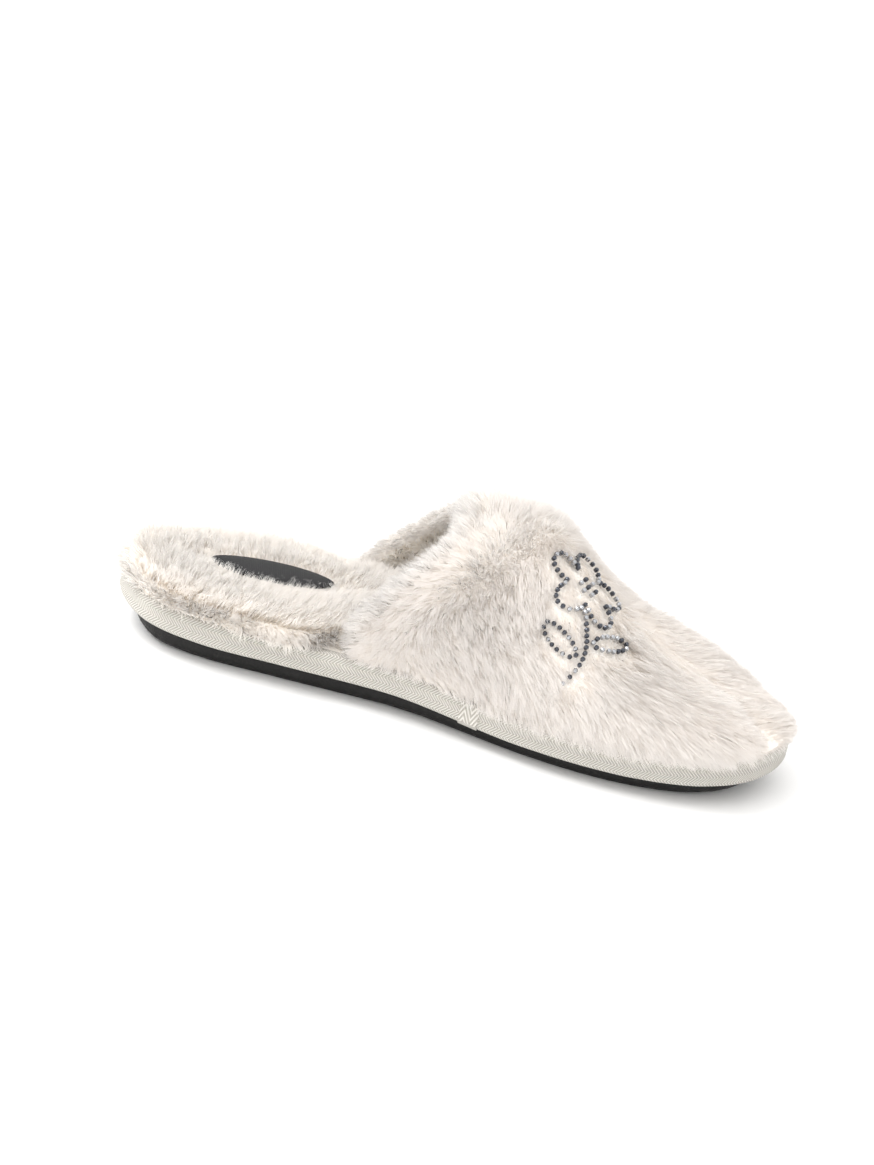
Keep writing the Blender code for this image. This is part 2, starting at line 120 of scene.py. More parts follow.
VAMP = (
    # turn, crest, rise, full
    (0.00, 0.500, 0.93, 2.3),
    (0.10, 0.553, 0.97, 2.3),
    (0.20, 0.606, 0.95, 2.3),
    (0.30, 0.662, 0.79, 2.3),
    (0.40, 0.718, 0.57, 2.4),
    (0.52, 0.778, 0.39, 2.3),
    (0.64, 0.828, 0.28, 2.2),
    (0.78, 0.870, 0.19, 2.0),
    (0.90, 0.894, 0.145, 1.85),
    (1.00, 0.904, 0.13, 1.8),
)
MEDIAL_LEAN = 1.6
LATERAL_LEAN = 1.0
LABEL_PLACE = (0.216, 0.143)
LABEL_RISE = 2.0 * MM  # how far the pile carries the label above the pad

# Pile
VAMP_PILE = 8.6 * MM
COLLAR_PILE = 8.0 * MM
LINING_PILE = 6.5 * MM
BED_PILE = 6.6 * MM
FRINGE_PILE = 5.6 * MM
VAMP_STRAND = 0.25 * MM
COLLAR_STRAND = 0.27 * MM
LINING_STRAND = 0.5 * MM
BED_STRAND = 0.32 * MM
FRINGE_STRAND = 0.40 * MM
VAMP_DENSITY, COLLAR_DENSITY, LINING_DENSITY = 5.9, 7.5, 1.7  # strands per square mm
BED_DENSITY, FRINGE_DENSITY = 5.4, 9.0
WELD = 0.02 * MM
PART_LIMIT = 60000  # strands in one piece

# Unevenness of the soft surfaces: height of the waves, scale per metre and seed
SWELL, SWELL_SCALE, SWELL_SEED = 1.3 * MM, 38, 3
RIPPLE, RIPPLE_SCALE, RIPPLE_SEED = 0.7 * MM, 90, 8
PAD_WAVE, PAD_SCALE, PAD_SEED = 0.5 * MM, 60, 2
TAPE_WAVE, TAPE_SCALE, TAPE_SEED = 0.12 * MM, 120, 5
DENT_TURN, DENT_CLIMB = 0.80, 0.45  # the dent near the toe, as shares along and up the vamp
DENT_LONG, DENT_HIGH = 0.06, 0.35
MEDIAL_DENT, LATERAL_DENT = 3.4 * MM, 0.8 * MM


def smooth(value, low, high):
    share = min(1.0, max(0.0, (value - low) / (high - low)))
    return share * share * (3 - 2 * share)


def smooth_all(values, low, high):
    share = np.clip((values - low) / (high - low), 0, 1)
    return share * share * (3 - 2 * share)


def through(rows, column, at):
    knots = [row[0] for row in rows]
    values = [row[column] for row in rows]
    i = min(len(rows) - 2, max(0, int(np.searchsorted(knots, at, side="right")) - 1))
    span = knots[i + 1] - knots[i]
    share = (at - knots[i]) / span

    def slope(k):
        low, high = max(0, k - 1), min(len(rows) - 1, k + 1)
        return (values[high] - values[low]) / (knots[high] - knots[low])

    square, cube = share**2, share**3
    return (
        values[i] * (2 * cube - 3 * square + 1)
        + values[i + 1] * (3 * square - 2 * cube)
        + slope(i) * span * (cube - 2 * square + share)
        + slope(i + 1) * span * (cube - square)
    )


def turned_outline():
    rows = [(math.acos(1 - 2 * along), medial, lateral) for along, medial, lateral in OUTLINE]
    there = [(angle, lateral) for angle, _, lateral in rows]
    back = [(2 * math.pi - angle, medial) for angle, medial, _ in reversed(rows[:-1])]
    once = there + back
    before = [(angle - 2 * math.pi, side) for angle, side in once[-4:-1]]
    after = [(angle + 2 * math.pi, side) for angle, side in once[1:4]]
    return before + once + after


TURNED = turned_outline()
tape_low, tape_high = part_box("binding")
SHIFT = Vector(((tape_low[0] + tape_high[0]) / 2, 0, 0))


def edge(angle):
    angle %= 2 * math.pi
    return Vector((-LENGTH / 2 * math.cos(angle), WIDTH * through(TURNED, 1, angle)))


sides = [edge(2 * math.pi * i / 64).y for i in range(64)]
SHIFT.y = (tape_low[1] + tape_high[1]) / 2 - (min(sides) + max(sides)) / 2


def rim(angle, inset=0.0):
    run = edge(angle - 0.01) - edge(angle + 0.01)
    return edge(angle) + Vector((-run.y, run.x)).normalized() * inset


def lift(x):
    along = x / LENGTH + 0.5
    heel = max(0.0, 1 - along / HEEL_FLAT)
    toe = max(0.0, (along - TOE_FLAT) / (1 - TOE_FLAT))
    arch = min(1.0, max(0.0, (along - ARCH[0]) / (ARCH[1] - ARCH[0])))
    return (
        HEEL_SPRING * heel**2 + TOE_SPRING * toe**2 + ARCH_LIFT * math.sin(math.pi * arch) ** 2
    )


def deck(x):
    fore = smooth(x / LENGTH + 0.5, 0.3, 0.6)
    return lift(x) + HEEL_THICKNESS + (FORE_THICKNESS - HEEL_THICKNESS) * fore


def tape_top(x):
    return deck(x) + CLEARANCE + TAPE_HEIGHT


def vamp_seat(x):
    return tape_top(x) + CLEARANCE


THROAT_ANGLE = math.acos(1 - 2 * THROAT)


def under_vamp(angle):
    away = math.acos(math.cos(angle))
    return smooth(away, THROAT_ANGLE - 0.19, THROAT_ANGLE - 0.05)


def bed_edge(angle):
    return 0.5 * MM + (VAMP_INSET + COLLAR_WALL + 3 * CLEARANCE) * under_vamp(angle)


def bed_height(x, y):
    along = x / LENGTH + 0.5
    angle = math.acos(min(1.0, max(-1.0, 1 - 2 * along)))
    low, high = edge(-angle).y, edge(angle).y
    across = min(1.0, abs(2 * (y - low) / max(high - low, MM) - 1))
    thin = 1 - 0.8 * smooth(along, 0.55, 0.85)
    return tape_top(x) + CLEARANCE + (PLUSH + BED_CROWN * (1 - across**2)) * thin


def vamp_place(turn, side, climb):
    angle = side * (THROAT_ANGLE + turn * (math.pi - THROAT_ANGLE))
    high = through(VAMP, 1, turn)
    spine = math.acos(min(1.0, 1 - 2 * high))
    crest = Vector((LENGTH * (high - 0.5), (edge(spine).y + edge(-spine).y) / 2))
    full = through(VAMP, 3, turn)
    quarter = min(1.0, max(0.0, climb)) * math.pi / 2
    over = 1 - max(0.0, math.cos(quarter)) ** (2 / full)
    up = math.sin(quarter) ** (2 / full)
    lean = LATERAL_LEAN if side > 0 else MEDIAL_LEAN
    ahead = over + (up**lean - over) * (1 - smooth(turn, 0.1, 0.6))
    bulge = SIDE_BULGE * math.sin(math.pi * up) * (1 - 0.5 * turn)
    foot = rim(angle, VAMP_INSET - bulge)
    plain = rim(angle, VAMP_INSET)
    x = foot.x + (crest.x - plain.x) * ahead
    y = foot.y + (crest.y - plain.y) * over
    seat = vamp_seat(plain.x)
    top = vamp_seat(crest.x) + INSTEP * through(VAMP, 2, turn)
    return Vector((x, y, seat + (top - seat) * up))


def vamp_frame(turn, side, climb):
    step = 0.01
    place = vamp_place(turn, side, climb)
    one, other = max(0.0, turn - step), min(1.0, turn + step)
    ahead = vamp_place(other, side, climb) - vamp_place(one, side, climb)
    low, high = max(0.02, climb - 0.03), min(1.0, max(0.02, climb - 0.03) + 0.06)
    rise = vamp_place(turn, side, high) - vamp_place(turn, side, low)
    normal = rise.cross(ahead) * side
    if climb > 0.999:
        normal.y = 0
        if turn > 0.999:
            normal = Vector((0.3, 0, 1))
    return place, normal.normalized(), ahead.normalized(), rise.normalized()


# Materials


def new_material(name, colour, roughness, metallic=0.0, sheen=0.0):
    look = bpy.data.materials.new(name)
    look.use_nodes = True
    nodes, links = look.node_tree.nodes, look.node_tree.links
    shader = nodes["Principled BSDF"]
    shader.inputs["Base Color"].default_value = (*colour, 1)
    shader.inputs["Roughness"].default_value = roughness
    shader.inputs["Metallic"].default_value = metallic
    shader.inputs["Sheen Weight"].default_value = sheen
    return look, nodes, links, shader


def add(nodes, kind, **values):
    node = nodes.new(kind)
    for key, value in values.items():
        if hasattr(node, key):
            setattr(node, key, value)
        else:
            node.inputs[key.replace("_", " ")].default_value = value
    return node


def maths(nodes, links, operation, one, two=None):
    node = nodes.new("ShaderNodeMath")
    node.operation = operation
    for slot, value in zip(node.inputs, (one, two)):
        if value is None:
            continue
        if isinstance(value, (int, float)):
            slot.default_value = value
        else:
            links.new(value, slot)
    return node.outputs[0]


def mixed(nodes, links, factor, one, two):
    node = nodes.new("ShaderNodeMix")
    node.data_type = "RGBA"
    links.new(factor, node.inputs["Factor"])
    for key, value in (("A", one), ("B", two)):
        slot = [s for s in node.inputs if s.name == key and s.type == "RGBA"][0]
        if isinstance(value, tuple):
            slot.default_value = (*value, 1)
        else:
            links.new(value, slot)
    return [s for s in node.outputs if s.type == "RGBA"][0]


def add_bump(nodes, links, shader, height, distance, strength=1.0):
    bump = nodes.new("ShaderNodeBump")
    bump.inputs["Distance"].default_value = distance
    bump.inputs["Strength"].default_value = strength
    links.new(height, bump.inputs["Height"])
    links.new(bump.outputs[0], shader.inputs["Normal"])


def fur_material(name, root, tip, through_light=0.6):
    """Pile: painted warm shade toward the roots, where the pile shades itself, each strand its own tone,
    and light through the strands.
    """
    look, nodes, links, shader = new_material(name, tip, 0.8)
    shader.inputs["Specular IOR Level"].default_value = 0.2
    tone = nodes.new("ShaderNodeAttribute")
    tone.attribute_name = "tone"
    split = nodes.new("ShaderNodeSeparateColor")
    links.new(tone.outputs["Color"], split.inputs[0])
    # The root colour is painted shade: darker and warmer toward the roots, deep in the pile.
    colour = mixed(nodes, links, split.outputs[0], root, tip)
    shade = maths(nodes, links, "MULTIPLY_ADD", split.outputs[1], 0.06)
    shade.node.inputs[2].default_value = 0.95
    tint = nodes.new("ShaderNodeMix")
    tint.data_type = "RGBA"
    tint.blend_type = "MULTIPLY"
    tint.inputs["Factor"].default_value = 1.0
    a, b = [s for s in tint.inputs if s.type == "RGBA"][:2]
    links.new(colour, a)
    grey = nodes.new("ShaderNodeCombineColor")
    for i in range(3):
        links.new(shade, grey.inputs[i])
    links.new(grey.outputs[0], b)
    colour = [s for s in tint.outputs if s.type == "RGBA"][0]
    links.new(colour, shader.inputs["Base Color"])
    glow = nodes.new("ShaderNodeBsdfTranslucent")
    links.new(colour, glow.inputs["Color"])
    mix = nodes.new("ShaderNodeMixShader")
    mix.inputs[0].default_value = through_light
    links.new(shader.outputs[0], mix.inputs[1])
    links.new(glow.outputs[0], mix.inputs[2])
    out = nodes["Material Output"]
    links.new(mix.outputs[0], out.inputs["Surface"])
    return look


def hide_material(name, dark, light):
    look, nodes, links, shader = new_material(name, light, 0.95)
    place = nodes.new("ShaderNodeTexCoord")
    wool = add(nodes, "ShaderNodeTexNoise", Scale=420.0, Detail=4.0, Roughness=0.6)
    links.new(place.outputs["Object"], wool.inputs["Vector"])
    tuft = add(nodes, "ShaderNodeTexNoise", Scale=70.0, Detail=3.0)
    links.new(place.outputs["Object"], tuft.inputs["Vector"])
    links.new(mixed(nodes, links, tuft.outputs[0], dark, light), shader.inputs["Base Color"])
    add_bump(nodes, links, shader, wool.outputs[0], 0.0012)
    return look


CHEVRON = 2.6 * MM  # width of one row of the herringbone
TWILL = 1.25 * MM  # pitch of its slanting ribs
YARN = 0.42 * MM
SATIN_WARP, SATIN_WEFT = 9000.0, 14000.0  # radians per metre


def tape_material():
    look, nodes, links, shader = new_material("woven_tape", (0.80, 0.765, 0.70), 0.85, sheen=0.2)
    uv = nodes.new("ShaderNodeUVMap")
    uv.uv_map = "run"
    split = nodes.new("ShaderNodeSeparateXYZ")
    links.new(uv.outputs[0], split.inputs[0])
    along, across = split.outputs[0], split.outputs[1]
    fold = maths(nodes, links, "PINGPONG", across, CHEVRON)
    slant = maths(nodes, links, "ADD", along, fold)
    wave = maths(nodes, links, "SINE", maths(nodes, links, "MULTIPLY", slant, 2 * math.pi / TWILL))
    rib = maths(nodes, links, "MULTIPLY_ADD", wave, 0.5)
    rib.node.inputs[2].default_value = 0.5
    yarn = maths(nodes, links, "SINE", maths(nodes, links, "MULTIPLY", across, 2 * math.pi / YARN))
    height = maths(nodes, links, "MULTIPLY_ADD", yarn, 0.18)
    links.new(rib, height.node.inputs[2])
    links.new(
        mixed(nodes, links, rib, (0.38, 0.355, 0.31), (0.70, 0.675, 0.63)),
        shader.inputs["Base Color"],
    )
    add_bump(nodes, links, shader, height, 0.0004, 0.9)
    return look


def rubber_material():
    look, nodes, links, shader = new_material("moulded_rubber", (0.024, 0.023, 0.022), 0.5)
    shader.inputs["Specular IOR Level"].default_value = 0.3
    place = nodes.new("ShaderNodeTexCoord")
    grain = add(nodes, "ShaderNodeTexVoronoi", Scale=900.0)
    fine = add(nodes, "ShaderNodeTexNoise", Scale=1500.0, Detail=3.0)
    cloud = add(nodes, "ShaderNodeTexNoise", Scale=60.0, Detail=3.0)
    for node in (grain, fine, cloud):
        links.new(place.outputs["Object"], node.inputs["Vector"])
    height = maths(nodes, links, "ADD", grain.outputs["Distance"], fine.outputs[0])
    add_bump(nodes, links, shader, height, 0.0003, 0.7)
    rough = maths(nodes, links, "MULTIPLY_ADD", cloud.outputs[0], 0.25)
    rough.node.inputs[2].default_value = 0.42
    links.new(rough, shader.inputs["Roughness"])
    links.new(
        mixed(nodes, links, cloud.outputs[0], (0.008, 0.0076, 0.0073), (0.016, 0.0155, 0.015)),
        shader.inputs["Base Color"],
    )
    return look


def satin_material():
    look, nodes, links, shader = new_material("label_satin", (0.008, 0.008, 0.009), 0.6)
    shader.inputs["Specular IOR Level"].default_value = 0.25
    place = nodes.new("ShaderNodeTexCoord")
    split = nodes.new("ShaderNodeSeparateXYZ")
    links.new(place.outputs["Object"], split.inputs[0])
    warp = maths(nodes, links, "SINE", maths(nodes, links, "MULTIPLY", split.outputs[0], SATIN_WARP))
    weft = maths(nodes, links, "SINE", maths(nodes, links, "MULTIPLY", split.outputs[1], SATIN_WEFT))
    height = maths(nodes, links, "ADD", warp, weft)
    add_bump(nodes, links, shader, height, 0.0001, 0.35)
    return look


# Each pile's first colour is painted warm shade at the roots, the second the colour at the tips.
WHITE_FUR = fur_material("vamp_fur", (0.96, 0.915, 0.865), (0.98, 0.96, 0.942))
BED_FUR = fur_material("bed_fur", (0.975, 0.92, 0.855), (0.992, 0.97, 0.945))
LINING_FUR = fur_material("lining_fur", (0.985, 0.925, 0.84), (0.995, 0.97, 0.925))
HIDE = hide_material("fur_ground", (0.91, 0.87, 0.82), (0.95, 0.925, 0.895))
GROUND = hide_material("plush_ground", (0.86, 0.80, 0.72), (0.91, 0.87, 0.81))
TAPE_LOOK = tape_material()
RUBBER = rubber_material()
SATIN = satin_material()


# Mesh helpers


def mesh_object(name, places, faces, look, smooth_shade=True):
    data = bpy.data.meshes.new(name)
    data.from_pydata([tuple(p) for p in places], [], faces)
    data.validate()
    if smooth_shade:
        data.shade_smooth()
    thing = bpy.data.objects.new(name, data)
    bpy.context.scene.collection.objects.link(thing)
    data.materials.append(look)
    return thing


def fast_mesh(name, places, triangles, look):
    data = bpy.data.meshes.new(name)
    data.vertices.add(len(places))
    data.vertices.foreach_set("co", places.astype(np.float32).ravel())
    data.loops.add(triangles.size)
    data.loops.foreach_set("vertex_index", triangles.astype(np.int32).ravel())
    data.polygons.add(len(triangles))
    data.polygons.foreach_set("loop_start", np.arange(0, triangles.size, 3, dtype=np.int32))
    data.update(calc_edges=True)
    thing = bpy.data.objects.new(name, data)
    bpy.context.scene.collection.objects.link(thing)
    data.materials.append(look)
    return thing


def face_outward(thing, weld=0.0):
    """Weld near places if asked, and turn every face outward. Returns the form's search tree."""
    work = bmesh.new()
    work.from_mesh(thing.data)
    if weld:
        bmesh.ops.remove_doubles(work, verts=work.verts, dist=weld)
        bmesh.ops.holes_fill(work, edges=work.edges, sides=12)
    bmesh.ops.recalc_face_normals(work, faces=work.faces)
    tree = BVHTree.FromBMesh(work)
    work.to_mesh(thing.data)
    work.free()
    return tree


def unit(vectors):
    return vectors / np.maximum(np.linalg.norm(vectors, axis=-1, keepdims=True), 1e-12)


class Patch:
    """A grid of places on the shoe with outward normals and the pile's direction."""

    def __init__(self, places, normals, naps):
        self.places = np.array(places) + np.array(SHIFT)
        self.normals, self.naps = unit(np.array(normals)), np.array(naps)

    def areas(self):
        p = self.places
        one, two = p[1:, 1:] - p[:-1, :-1], p[1:, :-1] - p[:-1, 1:]
        return 0.5 * np.linalg.norm(np.cross(one, two), axis=-1)

    def sample(self, per_square_mm, weight=None):
        area = self.areas() * 1e6
        chance = area * (1 if weight is None else weight)
        count = int(chance.sum() * per_square_mm)
        cells = RNG.choice(chance.size, size=count, p=(chance / chance.sum()).ravel())
        i, k = np.unravel_index(cells, chance.shape)
        u, v = RNG.random(count)[:, None], RNG.random(count)[:, None]

        def blend(grid):
            low = grid[i, k] * (1 - u) + grid[i + 1, k] * u
            high = grid[i, k + 1] * (1 - u) + grid[i + 1, k + 1] * u
            return low * (1 - v) + high * v

        share = np.column_stack((i + u[:, 0], k + v[:, 0])) / np.array(chance.shape)
        return blend(self.places), unit(blend(self.normals)), blend(self.naps), share


def clump(roots, tips, middles, spacing, pull):
    """Draw strands together into locks."""
    count = len(roots)
    keep = RNG.permutation(count)[: max(1, int(count / max(1.0, spacing)))]
    tree = KDTree(len(keep))
    for n, index in enumerate(keep):
        tree.insert(roots[index], n)
    tree.balance()
    owner = keep[np.array([tree.find(root)[1] for root in roots])]
    pull = pull[:, None]
    gap = roots[owner] - roots
    middle_goal = roots + (middles - roots) * 0.5 + (middles[owner] - roots[owner]) * 0.5 + gap * 0.35
    middles += (middle_goal - middles) * pull * 0.8
    tips += (tips[owner] - tips) * pull


def strands(name, roots, normals, leans, lengths, width, look, rise=0.6, droop=0.25, locks=26, pull=0.6):
    """Tapered ribbons. leans is the way that each strand lies, and rise how far it stands."""
    count = len(roots)
    rise = np.broadcast_to(np.asarray(rise, float), (count,))[:, None]
    jitter = RNG.normal(size=(count, 3)) * 0.17
    start = unit(normals * rise + leans * (1 - rise) + jitter)
    lengths = (lengths * (0.75 + 0.45 * RNG.random(count)))[:, None]
    bend = (unit(leans + RNG.normal(size=(count, 3)) * 0.25) - np.array((0, 0, 0.5))) * droop
    middles = roots + start * lengths * 0.5 + bend * lengths * 0.12
    tips = roots + start * lengths + bend * lengths * 0.5
    clump(roots, tips, middles, locks, pull * (0.5 + 0.6 * RNG.random(count)))
    run = unit(tips - roots)
    across = unit(np.cross(run, normals) + RNG.normal(size=(count, 3)) * 0.35)
    half = width / 2 * (0.6 + 0.8 * RNG.random(count))[:, None]
    places = np.stack(
        (
            roots - across * half,
            roots + across * half,
            middles - across * half * 0.8,
            middles + across * half * 0.8,
            tips,
        ),
        1,
    )
    tone = RNG.random(count)
    for part in range(0, count, PART_LIMIT):
        chunk = places[part : part + PART_LIMIT]
        n = len(chunk)
        base = (np.arange(n) * 5)[:, None, None]
        pattern = np.array(((0, 1, 3), (0, 3, 2), (2, 3, 4)))[None]
        thing = fast_mesh(
            f"{name}_{part // PART_LIMIT + 1}", chunk.reshape(-1, 3), (base + pattern).reshape(-1, 3), look
        )
        colour = thing.data.color_attributes.new("tone", "FLOAT_COLOR", "POINT")
        values = np.ones((n, 5, 4), np.float32)
        # Along each strand, from 0 at the root's painted shade to 1 at the tip's own colour.
        values[..., 0] = (0.0, 0.0, 0.7, 0.7, 1.0)
        values[..., 1] = tone[part : part + PART_LIMIT, None]
        colour.data.foreach_set("color", values.ravel())
        own = unit(np.cross(chunk[:, 4] - chunk[:, 0], chunk[:, 1] - chunk[:, 0]))
        face = normals[part : part + PART_LIMIT]
        own *= np.sign((own * face).sum(-1, keepdims=True) + 1e-9)
        shade = unit(face * 0.85 + own * 0.25)
        thing.data.shade_smooth()
        thing.data.normals_split_custom_set_from_vertices(np.repeat(shade, 5, axis=0).tolist())
        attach(thing, "root")


def waves(place, scale, seed):
    return noise.noise(Vector(place) * scale + Vector((seed, 0, 0)))


# The vamp's skin
TURNS, CLIMBS, LIP = 46, 18, 6
outer, inner = {}, {}
for side in (1, -1):
    places, normals, naps, within = [], [], [], []
    for i in range(TURNS + 1):
        turn = i / TURNS
        rows = ([], [], [], [])
        for k in range(CLIMBS + 1):
            climb = k / CLIMBS
            place, normal, ahead, rise = vamp_frame(turn, side, climb)
            if k == 0:
                normal = Vector((normal.x, normal.y, 0)).normalized()
            roll = COLLAR_ROLL * (1 - smooth(turn, 0.15, 0.25)) * smooth(climb, 0, 0.3)
            roll *= 1 if side < 0 else smooth(climb, 0.7, 1.0) * 1.3 - 0.3
            roll += CREST_ROLL * smooth(climb, 0.72, 1.0) * (1 - smooth(turn, 0.03, 0.22))
            wall = WALL + (COLLAR_WALL - WALL) * (1 - smooth(turn, 0.05, 0.2))
            wall += (TOE_WALL - WALL) * smooth(turn, 0.5, 0.8)
            swell = SWELL * waves(place, SWELL_SCALE, SWELL_SEED)
            swell += RIPPLE * waves(place, RIPPLE_SCALE, RIPPLE_SEED)
            off_turn, off_climb = (turn - DENT_TURN) / DENT_LONG, (climb - DENT_CLIMB) / DENT_HIGH
            dent = math.exp(-(off_turn**2) - off_climb**2)
            swell -= (MEDIAL_DENT if side < 0 else LATERAL_DENT) * dent
            swell *= smooth(climb, 0, 0.2)
            if k == CLIMBS:
                swell = SWELL * waves((place.x, 0, place.z), SWELL_SCALE, SWELL_SEED)
            rows[0].append(place + normal * (roll + swell))
            rows[1].append(normal)
            forward = 0.75 - (1.5 if side < 0 else 0.8) * (1 - smooth(turn, 0.0, 0.13))
            sink = rise * (0.75 if k < CLIMBS else 0.0) * smooth(turn, 0.0, 0.2)
            rows[2].append(ahead * forward - sink)
            skin = place + normal * min(0.0, swell)
            inside = skin - normal * wall
            inside.z = max(inside.z, vamp_seat(inside.x) + 0.4 * (skin.z - vamp_seat(skin.x)))
            if k == 0:
                inside.z = vamp_seat(inside.x)
            rows[3].append(inside)
        for grid, row in zip((places, normals, naps, within), rows):
            grid.append(row)
    outer[side] = Patch(places, normals, naps)
    inward, under_nap = ([[-way for way in row] for row in grid] for grid in (normals, naps))
    inner[side] = Patch(within, inward, under_nap)

# The lip, from the lateral rim over the crest to the medial rim
places, normals, naps = [], [], []
line = [(1, k) for k in range(CLIMBS + 1)] + [(-1, k) for k in range(CLIMBS - 1, -1, -1)]
for side, k in line:
    out, within = Vector(outer[side].places[0, k]), Vector(inner[side].places[0, k])
    _, _, ahead, _ = vamp_frame(0.0, side, k / CLIMBS)
    centre, arm = (out + within) / 2, (out - within) / 2
    back = -ahead
    back = (back - arm * (back.dot(arm) / arm.length_squared)).normalized()
    row = []
    for s in range(LIP + 1):
        turn = math.pi * s / LIP
        place = centre + arm * math.cos(turn) + back * arm.length * math.sin(turn)
        if k == 0:
            place.z = vamp_seat(place.x - SHIFT.x)
        row.append(place - SHIFT)
    places.append(row)
    normals.append([(p + SHIFT - centre).normalized() for p in row])
    turned_nap = back * 0.6 + Vector((0, 0, 0.15))
    naps.append(
        [turned_nap + arm.normalized() * math.cos(math.pi * s / LIP) * 0.5 for s in range(LIP + 1)]
    )
lip = Patch(places, normals, naps)

hide_places, hide_faces = [], []


def put_patch(patch):
    a, b = patch.places.shape[:2]
    base = len(hide_places)
    hide_places.extend(patch.places.reshape(-1, 3).tolist())
    for i in range(a - 1):
        for k in range(b - 1):
            corner = base + i * b + k
            hide_faces.append([corner, corner + 1, corner + b + 1, corner + b])


for patch in (outer[1], outer[-1], inner[1], inner[-1], lip):
    put_patch(patch)
for side in (1, -1):
    foot = np.stack((outer[side].places[:, 0], inner[side].places[:, 0]), 1)
    strip = Patch(foot - np.array(SHIFT), np.ones(foot.shape), np.ones(foot.shape))
    put_patch(strip)
hide = mesh_object("fur_hide", hide_places, hide_faces, HIDE)
skin_tree = face_outward(hide, WELD)
hide.data.shade_smooth()
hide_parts("upper")
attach(hide, "root")

# Stones: a five-petal blossom on a curved stem with two leaves, as a flat drawing in mm
STONE_PITCH = 2.5
HEART, PETAL = 7.6, 9.4  # the blossom's inner radius, and how far its petals reach past it
HEART_RING, HEART_STONES = 3.3, 6
STEM_START, STEM_LENGTH, STEM_BOW = -12.5, 28, 5.0
LEAVES = ((1, 22, 14), (-1, 38, 14))  # side, place on the stem and length
LEAF_GAP, LEAF_HALF_WIDTH, LEAF_SLANT = 2.6, 3.4, 0.5
DRAWING_LIFT = 6
FACETS = 8
STONE_RINGS = ((0.85, 0.0), (0.92, 1.2), (0.5, 1.7))  # radius and height in mm
STONE_LIFT = 1.1  # how far the stones' backs stand off the skin
STONE_GAP = 1.95
DARK_SHARE = 0.6


def spaced(line):
    """Even places along a drawn line."""
    steps = np.linalg.norm(np.diff(line, axis=0), axis=1)
    run = np.concatenate(((0,), np.cumsum(steps)))
    at = np.linspace(0, run[-1], max(2, round(run[-1] / STONE_PITCH) + 1))
    return [(float(np.interp(a, run, line[:, 0])), float(np.interp(a, run, line[:, 1]))) for a in at]


turns = np.linspace(0, 2 * math.pi, 400)
reach = HEART + PETAL * np.abs(np.cos(2.5 * (turns - math.pi / 2))) ** 0.8
blossom = spaced(np.column_stack((reach * np.cos(turns), reach * np.sin(turns))))
heart_turns = np.arange(HEART_STONES) * math.pi / (HEART_STONES / 2)
blossom += [(HEART_RING * math.cos(a), HEART_RING * math.sin(a)) for a in heart_turns] + [(0, 0)]
way = np.linspace(0, 1, 60)
stem = np.column_stack((STEM_BOW * np.sin(way * 2.4), STEM_START - STEM_LENGTH * way))
blossom += spaced(stem)
for side, start_at, length in LEAVES:
    along = np.linspace(0, 2 * math.pi, 120)
    leaf_x = length / 2 * (1 - np.cos(along))
    leaf_y = LEAF_HALF_WIDTH * np.sin(along) + LEAF_SLANT * leaf_x
    leaf = np.column_stack((stem[start_at, 0] + side * (leaf_x + LEAF_GAP), stem[start_at, 1] + leaf_y))
    blossom += spaced(leaf)

CENTRE_TURN, CENTRE_CLIMB = 0.30, 0.74
centre, face_normal, _, _ = vamp_frame(CENTRE_TURN, -1, CENTRE_CLIMB)
centre += SHIFT
face_normal = (face_normal + Vector((0.1, -0.35, 0))).normalized()
across = Vector((1, 0.05, -0.35))
across = (across - face_normal * across.dot(face_normal)).normalized()
upward = face_normal.cross(across) * (1 if face_normal.cross(across).z > 0 else -1)
stones = []
for x, y in blossom:
    start = centre + across * (x * MM) + upward * ((y + DRAWING_LIFT) * MM) + face_normal * 40 * MM
    hit, normal, _, _ = skin_tree.ray_cast(start, -face_normal)
    if hit is None:
        continue
    if all((hit - other).length > STONE_GAP * MM for other, _ in stones):
        normal = normal if normal.dot(face_normal) > 0 else -normal
        stones.append((hit + normal * STONE_LIFT * MM, normal))
stone_points, stone_faces, stone_looks = [], [], []
for hit, normal in stones:
    side_way = normal.cross(Vector((0.3, 0.2, 1))).normalized()
    other_way = normal.cross(side_way)
    base = len(stone_points)
    spin = RNG.random() * math.pi
    for radius, height in STONE_RINGS:
        for s in range(FACETS):
            turn = spin + 2 * math.pi * s / FACETS
            stone_points.append(
                hit
                + (side_way * math.cos(turn) + other_way * math.sin(turn)) * radius * MM
                + normal * height * MM
            )
    for ring in (base, base + FACETS):
        for s in range(FACETS):
            t = (s + 1) % FACETS
            stone_faces.append([ring + s, ring + t, ring + FACETS + t, ring + FACETS + s])
    stone_faces.append([base + 2 * FACETS + s for s in range(FACETS)])
    stone_faces.append([base + FACETS - 1 - s for s in range(FACETS)])
    stone_looks += [1 if RNG.random() < DARK_SHARE else 0] * (2 * FACETS + 2)
silver = new_material("bright_stone", (0.40, 0.41, 0.43), 0.12, 0.9)[0]
smoke = new_material("dark_stone", (0.07, 0.075, 0.09), 0.10, 0.7)[0]
gems = mesh_object("stones", stone_points, stone_faces, silver, False)
gems.data.materials.append(smoke)
for polygon, look in zip(gems.data.polygons, stone_looks):
    polygon.material_index = look
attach(gems, "root")
face_outward(gems)
stone_tree = KDTree(max(1, len(stones)))
for n, (hit, _) in enumerate(stones):
    stone_tree.insert(hit, n)
stone_tree.balance()


def clear_of_stones(roots):
    gaps = np.array([stone_tree.find(root)[2] for root in roots])
    return 0.16 + 0.84 * smooth_all(gaps, 1.6 * MM, 7.0 * MM)


